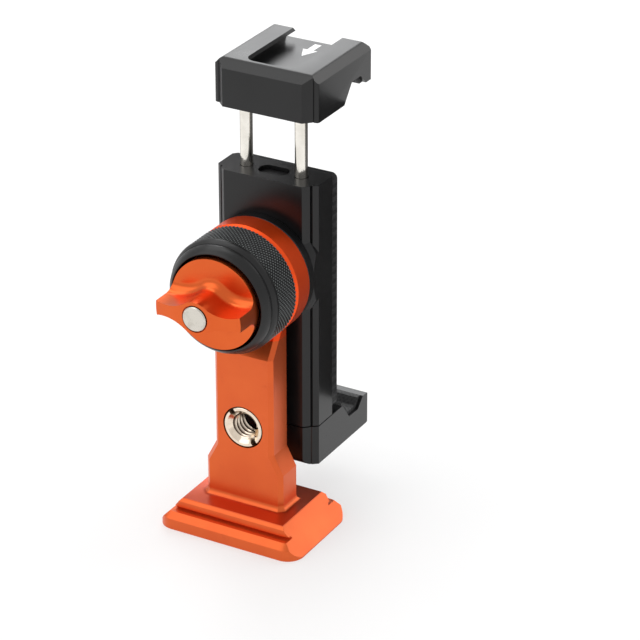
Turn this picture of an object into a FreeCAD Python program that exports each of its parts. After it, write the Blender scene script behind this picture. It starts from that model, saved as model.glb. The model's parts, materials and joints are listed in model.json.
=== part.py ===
import FreeCAD, Part
import math
import os
import re
import Sketcher

# Tripod phone mount: dovetail foot, upright with a round head, phone clamp held by a knurled ring and a wing knob.
# Millimetres. X runs across, Y away from the knob side, Z up. Origin: centre of the foot's underside.

os.makedirs("parts", exist_ok=True)
doc = FreeCAD.newDocument("phone_mount")

size = {
    # foot: its stepped profile runs round the corners, then both ends are milled to a slope
    "foot_width": 38.0,
    "foot_depth": 26.2,
    "foot_height": 7.0,
    "foot_top_width": 27.2,
    "foot_corner": 4.2,
    "foot_band": 2.7,
    "end_land": 2.0,
    "dovetail": 1.4,
    "groove_height": 0.6,
    "groove_undercut": 0.8,
    "rim_depth": 20.0,
    "rim_width": 33.4,
    "rim_corner": 2.4,
    "rim_bevel": 0.8,
    # upright
    "column_thick": 7.0,
    "column_front": 4.0,
    "waist_width": 15.6,
    "stem_width": 20.6,
    "column_bevel": 1.0,
    "head_ramp": 2.2,
    "stem_top": 16.3,
    "waist_bottom": 21.1,
    "waist_below_pivot": 18.1,
    "flare_rise": 7.8,
    "flare_out": 2.5,
    "base_fillet": 1.5,
    "pivot_height": 64.1,
    "head_radius": 14.0,
    "head_thick": 5.6,
    "head_bevel": 0.6,
    # tripod threads
    "bush_radius": 5.2,
    "bush_length": 6.8,
    "bush_slot_width": 1.5,
    "bush_slot_depth": 1.1,
    "bush_slot_turn": 50.0,
    "bush_height": 27.0,
    "thread_radius": 3.2,
    "base_bush_radius": 4.8,
    "base_bush_length": 5.5,
    "bush_gap": 0.12,
    # swivel
    "disc_radius": 13.6,
    "disc_thick": 2.75,
    "disc_bevel": 0.6,
    "turn_gap": 0.3,
    "sleeve_radius": 5.0,
    "sleeve_bore": 2.6,
    "sleeve_seat": 3.2,
    "run_gap": 0.08,
    # clamp body and its plan outline, shared by both jaws
    "body_depth": 10.0,
    "body_height": 61.6,
    "body_bottom": 25.0,
    "clamp_width": 26.5,
    "face_width": 20.6,
    "face_bevel": 1.35,
    "step_depth": 0.65,
    "step_width": 0.45,
    "step_rise": 0.35,
    "side_slope": 0.6,
    "back_bevel": 1.0,
    "boss_radius": 13.1,
    "boss_step": 1.65,
    # slide
    "rod_radius": 1.5,
    "rod_spacing": 14.4,
    "rod_from_face": 5.25,
    "rod_socket": 6.5,
    "rod_tail": 11.9,
    "rod_end_room": 17.6,
    "jaw_open": 15.5,
    # jaws
    "jaw_depth": 27.5,
    "lower_jaw_height": 10.15,
    "joint_gap": 0.1,
    "upper_jaw_height": 11.1,
    "vee_start": 14.0,
    "vee_slope": 3.5,
    "vee_depth": 4.5,
    "vee_floor": 4.2,
    "vee_back": 2.5,
    "lip_drop": 2.0,
    "jaw_edge_round": 1.8,
    # shoe on the upper jaw
    "shoe_width": 18.6,
    "shoe_opening": 13.0,
    "shoe_height": 2.0,
    "lip_thick": 1.1,
    "shoe_front": 3.3,
    "shoe_corner": 2.6,
    "shoe_undercut_start": 1.2,
    "shoe_undercut_corner": 3.6,
    "top_bevel_front": 2.3,
    "top_bevel_side": 1.8,
    "top_bevel_height": 1.8,
    # rubber
    "pad_thick": 1.0,
    "pad_width": 25.0,
    "back_pad_thick": 2.9,
    "back_pad_margin": 0.8,
    "back_pad_corner": 1.5,
    # top slot and plug
    "slot_length": 7.4,
    "slot_width": 4.4,
    "slot_depth": 2.6,
    "slot_corner": 1.9,
    "plug_gap": 0.15,
    "plug_sink": 1.0,
    # brake bar behind the rods
    "bar_length": 20.0,
    "bar_height": 9.0,
    "bar_thick": 2.4,
    "bar_room": 0.5,
    # jaw screws
    "screw_radius": 1.5,
    "screw_head_radius": 2.6,
    "screw_head_height": 1.6,
    "screw_grip": 7.0,
    "screw_gap": 0.05,
    "screw_end_room": 0.4,
    "screw_socket_radius": 1.35,
    "screw_socket_depth": 1.0,
    # knurled ring
    "ring_radius": 14.15,
    "ring_knurl_length": 8.0,
    "ring_front_radius": 13.35,
    "ring_length": 9.8,
    "ring_lip": 2.3,
    "ring_lip_inner": 11.9,
    "ring_recess": 11.63,
    "ring_web": 4.0,
    "ring_back_bevel": 0.5,
    # wing knob
    "knob_radius": 11.04,
    "knob_skirt": 7.0,
    "knob_face": 16.0,
    "wing_front": 22.75,
    "wing_crown": 1.6,
    "wing_half": 10.8,
    "wing_tip_high": 2.15,
    "wing_tip_low": 1.4,
    "hub_radius": 4.1,
    "hub_angle": 35.0,
    "scoop_reach": 13.5,
    "scoop_fillet": 2.5,
    "cap_radius": 3.15,
    "cap_proud": 0.3,
    "cap_thick": 1.6,
    "cap_bevel": 0.25,
    "lock_screw_radius": 2.5,
}

sheet = doc.addObject("Spreadsheet::Sheet", "dims")
for row, (name, value) in enumerate(size.items(), start=1):
    sheet.set("A%d" % row, name)
    sheet.set("B%d" % row, str(value))
    sheet.setAlias("B%d" % row, name)
doc.recompute()


class Values:
    """Plain access to the sizes: v.foot_width."""


v = Values()
v.__dict__.update(size)

# places that follow from the sizes
column_back = v.column_thick - v.column_front
head_front = column_back - v.head_thick
disc_front = column_back + v.turn_gap
face = disc_front + v.disc_thick
body_top = v.body_bottom + v.body_height
waist_top = v.pivot_height - v.waist_below_pivot
rod_end = v.pivot_height - v.rod_tail
jaw_bottom = body_top + v.jaw_open
jaw_top = jaw_bottom + v.upper_jaw_height
ring_back = head_front - v.turn_gap
rod_y = face + v.rod_from_face
rods_x = (-v.rod_spacing / 2, v.rod_spacing / 2)

sheet_words = re.compile(r"[a-z_]*[a-z]")


def bind(obj, prop, formula):
    """Ties a property to the spreadsheet; words of the formula are size names."""
    obj.setExpression(prop, sheet_words.sub(lambda word: "dims." + word.group(0), formula))


def place(obj, x=0, y=0, z=0):
    obj.Placement.Base = FreeCAD.Vector(x, y, z)
    return obj


def box(name, length, width, height, x, y, z):
    """A box from its three size formulas, with its low corner at x, y, z."""
    obj = doc.addObject("Part::Box", name)
    bind(obj, "Length", length)
    bind(obj, "Width", width)
    bind(obj, "Height", height)
    return place(obj, x, y, z)


TURN = {
    "Z": FreeCAD.Rotation(),
    "Y": FreeCAD.Rotation(FreeCAD.Vector(1, 0, 0), -90),
    "X": FreeCAD.Rotation(FreeCAD.Vector(0, 1, 0), 90),
}


def cylinder(name, radius, height, x, y, z, axis="Z"):
    """A cylinder that starts at x, y, z and runs along +X, +Y or +Z."""
    obj = doc.addObject("Part::Cylinder", name)
    bind(obj, "Radius", radius)
    bind(obj, "Height", height)
    obj.Placement = FreeCAD.Placement(FreeCAD.Vector(x, y, z), TURN[axis])
    return obj


SKETCH_TURN = {
    "XY": FreeCAD.Rotation(),
    "XZ": FreeCAD.Rotation(FreeCAD.Vector(1, 0, 0), 90),
    "YZ": FreeCAD.Rotation(FreeCAD.Vector(1, 1, 1), 120),
}


def outline(name, plane, points, at=(0, 0, 0)):
    """A closed sketch. A point is (a, b) for a straight side, or (middle, end) for an arc through middle."""
    sketch = doc.addObject("Sketcher::SketchObject", name)
    sketch.Placement = FreeCAD.Placement(FreeCAD.Vector(*at), SKETCH_TURN[plane])
    last = points[-1]
    start = last[1] if isinstance(last[0], tuple) else last
    for point in points:
        if isinstance(point[0], tuple):
            middle, end = point
            ring = [FreeCAD.Vector(p[0], p[1], 0) for p in (start, middle, end)]
            sketch.addGeometry(Part.Arc(*ring), False)
        else:
            end = point
            sketch.addGeometry(Part.LineSegment(FreeCAD.Vector(start[0], start[1], 0),
                                                FreeCAD.Vector(end[0], end[1], 0)), False)
        start = end
    return sketch


AXES = {"XY": FreeCAD.Vector(0, 0, 1), "XZ": FreeCAD.Vector(0, 1, 0), "YZ": FreeCAD.Vector(1, 0, 0)}


def prism(name, plane, points, length, at=(0, 0, 0)):
    """The outline drawn out along the plane's third axis by a length formula."""
    obj = doc.addObject("Part::Extrusion", name)
    obj.Base = outline(name + "_outline", plane, points, at)
    obj.DirMode = "Custom"
    obj.Dir = AXES[plane]
    bind(obj, "LengthFwd", length)
    obj.Solid = True
    return obj


def turned(name, points, at_z):
    """A body of revolution about the Y axis at height at_z, from (y, radius) points."""
    obj = doc.addObject("Part::Revolution", name)
    obj.Source = outline(name + "_outline", "YZ", points, (0, 0, at_z))
    obj.Axis = FreeCAD.Vector(0, 1, 0)
    obj.Base = FreeCAD.Vector(0, 0, at_z)
    obj.Angle = 360
    obj.Solid = True
    return obj


def fuse(name, *shapes):
    obj = doc.addObject("Part::MultiFuse", name)
    obj.Shapes = list(shapes)
    obj.Refine = True
    return obj


def common(name, *shapes):
    obj = doc.addObject("Part::MultiCommon", name)
    obj.Shapes = list(shapes)
    return obj


def cut(name, base, *tools):
    obj = doc.addObject("Part::Cut", name)
    obj.Base = base
    obj.Tool = tools[0] if len(tools) == 1 else fuse(name + "_tools", *tools)
    return obj


def rounded(name, base, radius, wanted, kind="Part::Fillet"):
    """Fillet or chamfer of the edges for which wanted(edge) holds."""
    doc.recompute()
    obj = doc.addObject(kind, name)
    obj.Base = base
    picked = [(i, radius, radius) for i, edge in enumerate(base.Shape.Edges, start=1) if wanted(edge)]
    if not picked:
        raise ValueError(name + ": no edge to round")
    obj.Edges = picked
    return obj


def mirrored(points):
    """Adds the mirror image in X of a run of points that goes from -Y round the +X side to +Y."""
    return points + [(-a, b) for a, b in reversed(points)]


pieces = {}


def keep(name, obj):
    obj.Label = name
    pieces[name] = obj
    return obj


# foot and upright, one machined piece

def foot_layer(name, low, high):
    """One step of the foot, between two rounded rectangles given as (width, depth, corner, z)."""
    loft = doc.addObject("Part::Loft", name)
    levels = []
    for end, (width, depth, corner, z) in (("low", low), ("high", high)):
        levels.append(outline(name + "_" + end, "XY", round_rect(width, depth, corner), (0, 0, z)))
    loft.Sections = levels
    loft.Solid = True
    loft.Ruled = True
    return loft


def foot_solid():
    ledge = v.foot_band + v.dovetail
    rim_start = ledge + v.groove_height
    rim_end = v.foot_height - v.rim_bevel

    def flange(inset, z):
        return (v.foot_width - 2 * inset, v.foot_depth - 2 * inset, v.foot_corner - inset, z)

    def rim(inset, z):
        return (v.rim_width, v.rim_depth - 2 * inset, v.rim_corner, z)
    steps = fuse(
        "foot_steps",
        foot_layer("foot_flange", flange(0, 0), flange(0, v.foot_band)),
        foot_layer("foot_dovetail", flange(0, v.foot_band), flange(v.dovetail, ledge)),
        foot_layer("foot_core", rim(v.groove_undercut, ledge), rim(v.groove_undercut, rim_start)),
        foot_layer("foot_rim", rim(0, rim_start), rim(0, rim_end)),
        foot_layer("foot_rim_edge", rim(0, rim_end), rim(v.rim_bevel, v.foot_height)),
    )
    low = v.foot_width / 2
    high = v.foot_top_width / 2
    slopes = [(low, 0), (low, v.end_land), (high, v.foot_height)]
    ends = prism("foot_ends", "XZ", mirrored(slopes), "foot_depth", (0, -v.foot_depth / 2, 0))
    return common("foot_plate", steps, ends)


def round_rect(width, depth, radius, x=0, y=0):
    """Points of a rounded rectangle about x, y."""
    a = width / 2
    b = depth / 2
    r = radius
    q = radius * (1 - 0.5 ** 0.5)
    points = [
        (a - r, -b), ((a - q, -b + q), (a, -b + r)),
        (a, b - r), ((a - q, b - q), (a - r, b)),
        (-a + r, b), ((-a + q, b - q), (-a, b - r)),
        (-a, -b + r), ((-a + q, -b + q), (-a + r, -b)),
    ]
    moved = []
    for point in points:
        if isinstance(point[0], tuple):
            moved.append(tuple((p[0] + x, p[1] + y) for p in point))
        else:
            moved.append((point[0] + x, point[1] + y))
    return moved


def column_solid():
    waist = v.waist_width / 2
    stem = v.stem_width / 2
    # the outline stops inside the round head, which is joined on
    side = [
        (stem, v.foot_height - 1),
        (stem, v.stem_top),
        (waist, v.waist_bottom),
        (waist, waist_top),
        (waist + v.flare_out, waist_top + v.flare_rise),
        (waist + v.flare_out, v.pivot_height),
    ]
    column = prism("column_blank", "XZ", mirrored(side), "column_thick", (0, -v.column_front, 0))
    front = -v.column_front

    def front_side_edge(edge):
        middle = edge.CenterOfMass
        on_front = abs(middle.y - front) < 0.01 and edge.BoundBox.YLength < 0.01
        return on_front and abs(middle.x) > 1 and middle.z > v.foot_height
    bevelled = rounded("column_bevelled", column, v.column_bevel, front_side_edge, "Part::Chamfer")
    # above the waist the front face falls back to the head's face
    ramp = [
        (front - 1, waist_top),
        (front, waist_top),
        (head_front, waist_top + v.head_ramp),
        (head_front, v.pivot_height + v.head_radius + 1),
        (front - 1, v.pivot_height + v.head_radius + 1),
    ]
    ramp_cut = prism("head_ramp", "YZ", ramp, "head_radius * 3", (-v.head_radius * 1.5, 0, 0))
    return cut("column_solid", bevelled, ramp_cut)


def upright():
    head = turned("head_blank", [
        (head_front, 0),
        (head_front, v.head_radius - v.head_bevel),
        (head_front + v.head_bevel, v.head_radius),
        (column_back, v.head_radius),
        (column_back, 0),
    ], v.pivot_height)
    joined = fuse("upright_blank", foot_solid(), column_solid(), head)
    root = v.foot_height

    def foot_edge(edge):
        middle = edge.CenterOfMass
        flat = edge.BoundBox.ZLength < 0.01 and abs(middle.z - root) < 0.01
        return flat and abs(middle.x) <= v.stem_width / 2 + 0.01 and abs(middle.y) <= v.column_front + 0.01
    filleted = rounded("upright_filleted", joined, v.base_fillet, foot_edge)
    pivot_hole = cylinder("pivot_hole", "sleeve_radius + run_gap", "head_thick + 2",
                          0, head_front - 1, v.pivot_height, "Y")
    bush_hole = cylinder("bush_hole", "bush_radius + bush_gap", "column_thick + 2",
                         0, -v.column_front - 1, v.bush_height, "Y")
    base_hole = cylinder("base_hole", "base_bush_radius + bush_gap", "base_bush_length + 1", 0, 0, -1)
    keep("foot_upright", cut("foot_upright", filleted, pivot_hole, bush_hole, base_hole))


def bushes():
    blank = cylinder("bush_blank", "bush_radius", "bush_length", 0, -v.column_front, v.bush_height, "Y")
    bore = cylinder("bush_bore", "thread_radius", "bush_length + 2", 0, -v.column_front - 1, v.bush_height, "Y")
    slot = box("bush_slot", "bush_radius * 3", "bush_slot_depth + 1", "bush_slot_width", 0, 0, 0)
    # the driver slot runs from upper left to lower right
    tilt = FreeCAD.Rotation(FreeCAD.Vector(0, 1, 0), v.bush_slot_turn)
    corner = tilt.multVec(FreeCAD.Vector(-v.bush_radius * 1.5, 0, -v.bush_slot_width / 2))
    slot.Placement = FreeCAD.Placement(
        corner + FreeCAD.Vector(0, -v.column_front - 1, v.bush_height), tilt)
    keep("thread_bush", cut("thread_bush", blank, bore, slot))
    base = cylinder("base_bush_blank", "base_bush_radius", "base_bush_length", 0, 0, 0)
    base_bore = cylinder("base_bush_bore", "thread_radius", "base_bush_length + 2", 0, 0, -1)
    keep("base_bush", cut("base_bush", base, base_bore))


# clamp body

def clamp_plan(depth):
    """Plan outline shared by body and jaws: bevelled raised face, small step, bevelled side."""
    a = v.face_width / 2
    b = v.clamp_width / 2
    edge = a + v.face_bevel
    foot = face + v.face_bevel
    step = foot + v.step_depth
    back = face + depth
    side = [
        (a, face),
        (edge, foot),
        (edge, step),
        (edge + v.step_width, step - v.step_rise),
        (b, step + v.side_slope),
        (b, back - v.back_bevel),
        (b - v.back_bevel, back),
    ]
    return mirrored(side)


def clamp_body():
    block = prism("body_block", "XY", clamp_plan(v.body_depth), "body_height", (0, 0, v.body_bottom))
    # round the pivot the raised face widens to the full width
    boss = turned("body_boss", [
        (face, 0),
        (face, v.boss_radius),
        (face + v.face_bevel, v.boss_radius + v.face_bevel),
        (face + v.face_bevel + v.boss_step, v.boss_radius + v.face_bevel),
        (face + v.face_bevel + v.boss_step, 0),
    ], v.pivot_height)
    limit = box("boss_limit", "clamp_width", "body_depth", "boss_radius * 4",
                -v.clamp_width / 2, face, v.pivot_height - v.boss_radius * 2)
    body = fuse("body_blank", block, common("boss_trimmed", boss, limit))
    tools = []
    for i, x in enumerate(rods_x):
        tools.append(cylinder("rod_bore%d" % i, "rod_radius + run_gap",
                              "body_bottom + body_height - pivot_height + rod_tail + rod_end_room + 1",
                              x, rod_y, rod_end - v.rod_end_room))
        tools.append(cylinder("screw_hole%d" % i, "screw_radius + screw_gap", "screw_grip + 1",
                              x, rod_y, v.body_bottom - 1))
    tools.append(cylinder("sleeve_hole", "sleeve_radius", "sleeve_seat + 1", 0, face - 1, v.pivot_height, "Y"))
    tools.append(cylinder("lock_hole", "sleeve_bore", "body_depth", 0, face, v.pivot_height, "Y"))
    pocket_floor = rod_y + v.rod_radius - v.turn_gap
    tools.append(box("brake_pocket", "bar_length + bar_room * 2", "body_depth", "bar_height + bar_room * 2",
                     -v.bar_length / 2 - v.bar_room, pocket_floor,
                     v.pivot_height - v.bar_height / 2 - v.bar_room))
    tools.append(prism("slot_cut", "XY", round_rect(v.slot_length, v.slot_width, v.slot_corner, 0, rod_y),
                       "slot_depth + 1", (0, 0, body_top - v.slot_depth)))
    keep("clamp_body", cut("clamp_body", body, *tools))


def swivel():
    bevel = v.disc_bevel
    disc = turned("disc_blank", [
        (disc_front, v.sleeve_radius),
        (disc_front, v.disc_radius - bevel),
        (disc_front + bevel, v.disc_radius),
        (face, v.disc_radius),
        (face, v.sleeve_radius),
    ], v.pivot_height)
    keep("swivel_disc", disc)
    sleeve_front = ring_back - v.ring_web
    length = face + v.sleeve_seat - sleeve_front
    sleeve = turned("sleeve_blank", [
        (sleeve_front, v.sleeve_bore),
        (sleeve_front, v.sleeve_radius),
        (sleeve_front + length, v.sleeve_radius),
        (sleeve_front + length, v.sleeve_bore),
    ], v.pivot_height)
    keep("pivot_sleeve", sleeve)


def brake():
    bar_front = rod_y + v.rod_radius + v.turn_gap
    bar = box("bar_blank", "bar_length", "bar_thick", "bar_height",
              -v.bar_length / 2, bar_front, v.pivot_height - v.bar_height / 2)
    hole = cylinder("bar_hole", "lock_screw_radius + run_gap", "bar_thick + 2",
                    0, bar_front - 1, v.pivot_height, "Y")
    keep("brake_bar", cut("brake_bar", bar, hole))
    plug = prism("plug_blank", "XY",
                 round_rect(v.slot_length - 2 * v.plug_gap, v.slot_width - 2 * v.plug_gap,
                            v.slot_corner - v.plug_gap, 0, rod_y),
                 "slot_depth - plug_sink", (0, 0, body_top - v.slot_depth))
    keep("slot_plug", plug)


# jaws

def vee(floor, sign):
    """Groove points from the face side to the lip, floor being the jaw's inner face; sign +1 opens down."""
    y = face + v.vee_start
    deep = floor + sign * v.vee_depth
    lip = floor + sign * v.lip_drop
    return [
        (y, floor),
        (y + v.vee_slope, deep),
        (y + v.vee_slope + v.vee_floor, deep),
        (y + v.vee_slope + v.vee_floor + v.vee_back, lip),
        (face + v.jaw_depth, lip),
    ]


def lower_jaw():
    top = v.body_bottom - v.joint_gap
    bottom = top - v.lower_jaw_height
    back = face + v.jaw_depth
    r = v.jaw_edge_round
    q = r * (1 - 0.5 ** 0.5)
    groove = vee(top, -1)
    side = [(face - 1, top)] + groove[:-1] + [
        (back - r, groove[-1][1]),
        ((back - q, groove[-1][1] - q), (back, groove[-1][1] - r)),
        (back, bottom + r),
        ((back - q, bottom + q), (back - r, bottom)),
        (face + r, bottom),
        ((face + q, bottom + q), (face, bottom + r)),
        (face - 1, bottom + r),
    ]
    profile = prism("lower_profile", "YZ", side, "clamp_width", (-v.clamp_width / 2, 0, 0))
    plan = prism("lower_plan", "XY", clamp_plan(v.jaw_depth), "lower_jaw_height + 2", (0, 0, bottom - 1))
    blank = common("lower_blank", profile, plan)
    tools = []
    screws = []
    for i, x in enumerate(rods_x):
        tools.append(cylinder("jaw_screw_hole%d" % i, "screw_radius + screw_gap", "lower_jaw_height + 2",
                              x, rod_y, bottom - 1))
        tools.append(cylinder("jaw_head_hole%d" % i, "screw_head_radius + screw_gap", "screw_head_height + 1",
                              x, rod_y, bottom - 1))
        shank = cylinder("shank%d" % i, "screw_radius", "lower_jaw_height + screw_grip - screw_end_room",
                         x, rod_y, bottom)
        head = cylinder("screw_head%d" % i, "screw_head_radius", "screw_head_height - screw_gap",
                        x, rod_y, bottom)
        socket = prism("socket%d" % i, "XY", hexagon(x, rod_y, v.screw_socket_radius),
                       "screw_socket_depth + 1", (0, 0, bottom - 1))
        screws.append(cut("jaw_screw%d" % i, fuse("jaw_screw_blank%d" % i, shank, head), socket))
    keep("lower_jaw", cut("lower_jaw", blank, *tools))
    group = doc.addObject("Part::Compound", "jaw_screws")
    group.Links = screws
    keep("jaw_screws", group)
    keep("lower_jaw_pad", jaw_pad("lower_pad", top, -1))


def hexagon(x, y, radius):
    flat = radius * 3 ** 0.5 / 2
    return [(x + radius, y), (x + radius / 2, y + flat), (x - radius / 2, y + flat),
            (x - radius, y), (x - radius / 2, y - flat), (x + radius / 2, y - flat)]


def jaw_pad(name, floor, sign):
    """Rubber lining of the groove, equally thick on its floor and both slopes."""
    near, near_deep, far_deep, far = vee(floor, sign)[:4]
    level = near_deep[1] - sign * v.pad_thick

    def on_slope(top, deep, z, way):
        """The point at height z on the slope top to deep, moved off the metal by the pad's thickness."""
        run = deep[0] - top[0]
        rise = deep[1] - top[1]
        shift = v.pad_thick * math.hypot(run, rise) / abs(rise)
        return (top[0] + (z - top[1]) * run / rise + way * shift, z)
    inner = [
        on_slope(far, far_deep, far[1], -1),
        on_slope(far, far_deep, level, -1),
        on_slope(near, near_deep, level, 1),
        on_slope(near, near_deep, near[1], 1),
    ]
    return prism(name, "YZ", [near, near_deep, far_deep, far] + inner, "pad_width", (-v.pad_width / 2, 0, 0))


def upper_jaw():
    back = face + v.jaw_depth
    groove = vee(jaw_bottom, 1)
    side = [(face - 1, jaw_bottom)] + groove + [(back, jaw_top), (face - 1, jaw_top)]
    profile = prism("upper_profile", "YZ", side, "clamp_width", (-v.clamp_width / 2, 0, 0))
    plan = prism("upper_plan", "XY", clamp_plan(v.jaw_depth), "upper_jaw_height + 2", (0, 0, jaw_bottom - 1))
    # all four top edges are bevelled
    roof = doc.addObject("Part::Wedge", "upper_roof")
    # the wedge's own Y stands up and its own Z runs from the jaw's back to its front
    sides = {
        "Xmin": "-clamp_width / 2",
        "Xmax": "clamp_width / 2",
        "X2min": "top_bevel_side - clamp_width / 2",
        "X2max": "clamp_width / 2 - top_bevel_side",
        "Ymin": "0 * top_bevel_height",
        "Ymax": "top_bevel_height",
        "Zmin": "0 * jaw_depth",
        "Zmax": "jaw_depth",
        "Z2min": "top_bevel_side",
        "Z2max": "jaw_depth - top_bevel_front",
    }
    for prop, formula in sides.items():
        bind(roof, prop, formula)
    roof.Placement = FreeCAD.Placement(FreeCAD.Vector(0, back, jaw_top - v.top_bevel_height),
                                       FreeCAD.Rotation(FreeCAD.Vector(1, 0, 0), 90))
    under = box("upper_under", "clamp_width", "jaw_depth", "upper_jaw_height - top_bevel_height",
                -v.clamp_width / 2, face, jaw_bottom)
    blank = common("upper_blank", profile, plan, fuse("upper_limit", under, roof))
    shoe_floor = jaw_top - v.lip_thick - v.shoe_height
    # both cuts run out well behind the jaw, so that only their front corners are round
    cut_end = back + 6

    def shoe_cut(name, width, front, corner, height):
        plan_points = round_rect(width, cut_end - front, corner, 0, (front + cut_end) / 2)
        return prism(name, "XY", plan_points, height, (0, 0, shoe_floor))
    mouth_front = face + v.shoe_front
    tools = [
        shoe_cut("shoe_mouth", v.shoe_opening, mouth_front, v.shoe_corner, "shoe_height + lip_thick + 1"),
        shoe_cut("shoe_undercut", v.shoe_width, mouth_front + v.shoe_undercut_start,
                 v.shoe_undercut_corner, "shoe_height"),
    ]
    for i, x in enumerate(rods_x):
        tools.append(cylinder("rod_socket%d" % i, "rod_radius", "rod_socket + 1", x, rod_y, jaw_bottom - 1))
    keep("upper_jaw", cut("upper_jaw", blank, *tools))
    keep("upper_jaw_pad", jaw_pad("upper_pad", jaw_bottom, 1))
    for name, x in zip(("guide_rod_left", "guide_rod_right"), rods_x):
        rod = cylinder(name, "rod_radius",
                       "rod_socket + jaw_open + body_bottom + body_height - pivot_height + rod_tail",
                       x, rod_y, rod_end)
        keep(name, rod)


def back_pad():
    margin = v.back_pad_margin
    height = v.body_height - 2 * margin
    plan_points = round_rect(v.pad_width, height, v.back_pad_corner, 0, body_top - margin - height / 2)
    pad = prism("back_pad", "XZ", plan_points, "back_pad_thick", (0, face + v.body_depth, 0))
    keep("back_pad", pad)


# controls

def knurled_ring():
    front = ring_back - v.ring_length
    knurl_end = ring_back - v.ring_knurl_length
    bevel = v.ring_back_bevel
    lip = front - v.ring_lip
    web = ring_back - v.ring_web
    bore = v.sleeve_radius + v.run_gap
    ring = turned("ring_blank", [
        (ring_back, bore),
        (ring_back, v.ring_radius - bevel),
        (ring_back - bevel, v.ring_radius),
        (knurl_end, v.ring_radius),
        (front, v.ring_front_radius),
        (lip, v.ring_lip_inner),
        (lip, v.ring_recess),
        (web, v.ring_recess),
        (web, bore),
    ], v.pivot_height)
    keep("knurled_ring", ring)


def scoop_points():
    """One side of the wing seen from the front: two arcs that leave the round hub smoothly, one to each tip."""
    hub = v.hub_radius
    sine = math.sin(math.radians(v.hub_angle))
    cosine = math.cos(math.radians(v.hub_angle))

    def arc_to(tip):
        """Points of the arc at the scoop's end, half way and on the hub; it has height tip at wing_half."""
        a = v.wing_half
        reach = (a * a + tip * tip - hub * hub) / (2 * (a * sine + tip * cosine - hub))
        radius = reach - hub
        joint = (hub * sine, hub * cosine)

        def at(x):
            return (x, reach * cosine - math.sqrt(radius * radius - (x - reach * sine) ** 2))
        return at(v.scoop_reach), at((v.scoop_reach + joint[0]) / 2), joint
    low_end, low_middle, joint = arc_to(v.wing_tip_low)
    high_end, high_middle, joint = arc_to(v.wing_tip_high)
    left = [(-x, z) for x, z in (low_end, low_middle, joint)]
    return [
        left[0],
        (left[1], left[2]),
        ((0, hub), joint),
        (high_middle, high_end),
        (v.scoop_reach, v.scoop_reach),
        (-v.scoop_reach, v.scoop_reach),
    ]


def scoop(name, way, at_z):
    """The metal milled away above the wing (way 1) or below it (way -1), with a round at its root."""
    points = []
    for point in scoop_points():
        if isinstance(point[0], tuple):
            points.append(tuple((way * x, way * z) for x, z in point))
        else:
            points.append((way * point[0], way * point[1]))
    floor = -v.knob_face
    blank = prism(name + "_blank", "XZ", points, "wing_front + wing_crown - knob_face + 1",
                  (0, floor - (v.wing_front + v.wing_crown - v.knob_face + 1), at_z))

    def root_edge(edge):
        on_floor = abs(edge.CenterOfMass.y - floor) < 0.01 and edge.BoundBox.YLength < 0.01
        return on_floor and isinstance(edge.Curve, Part.Circle)
    return rounded(name, blank, v.scoop_fillet, root_edge)


def wing_knob():
    at_z = v.pivot_height
    r = v.knob_radius
    back = v.knob_skirt - v.knob_face
    crown = -v.wing_front - v.wing_crown
    # round bar whose front is curved from tip to tip; two scoops leave the wing, the same after half a turn
    bar = cylinder("knob_bar", "knob_radius", "knob_skirt - knob_face + wing_front + wing_crown",
                   0, crown, at_z, "Y")
    curved = prism("knob_front", "XY", [(r, back), (-r, back), (-r, -v.wing_front),
                                        ((0, crown), (r, -v.wing_front))],
                   "knob_radius * 2", (0, 0, at_z - r))
    blank = common("knob_blank", bar, curved)
    screw_hole = cylinder("knob_screw_hole", "lock_screw_radius", "wing_front + 2", 0, crown, at_z, "Y")
    cap_hole = cylinder("knob_cap_hole", "cap_radius + bush_gap", "cap_thick + 1",
                        0, crown - 1, at_z, "Y")
    keep("wing_knob", cut("wing_knob", blank, scoop("scoop_above", 1, at_z), scoop("scoop_below", -1, at_z),
                          screw_hole, cap_hole))
    cap_front = crown - v.cap_proud
    cap = turned("cap_blank", [
        (cap_front, 0),
        (cap_front, v.cap_radius - v.cap_bevel),
        (cap_front + v.cap_bevel, v.cap_radius),
        (cap_front + v.cap_proud + v.cap_thick, v.cap_radius),
        (cap_front + v.cap_proud + v.cap_thick, 0),
    ], at_z)
    keep("knob_cap", cap)
    screw_start = crown + v.cap_thick
    screw_end = rod_y + v.rod_radius + v.turn_gap + v.bar_thick
    screw = doc.addObject("Part::Cylinder", "lock_screw")
    bind(screw, "Radius", "lock_screw_radius")
    screw.Height = screw_end - screw_start
    screw.Placement = FreeCAD.Placement(FreeCAD.Vector(0, screw_start, at_z), TURN["Y"])
    keep("lock_screw", screw)


upright()
bushes()
clamp_body()
swivel()
brake()
lower_jaw()
upper_jaw()
back_pad()
knurled_ring()
wing_knob()
doc.recompute()

for obj in doc.Objects:
    if "Invalid" in obj.State or "Error" in obj.State:
        raise ValueError(obj.Name + " did not compute")
for name, obj in pieces.items():
    if obj.Shape.isNull() or not obj.Shape.isValid() or not obj.Shape.Solids:
        raise ValueError(name + " has no valid solid")
    obj.Shape.exportStep("parts/%s.step" % name)
    print(name, len(obj.Shape.Solids), round(obj.Shape.Volume, 1))
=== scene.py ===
import json
import math
import bpy
from mathutils import Matrix, Vector

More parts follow.
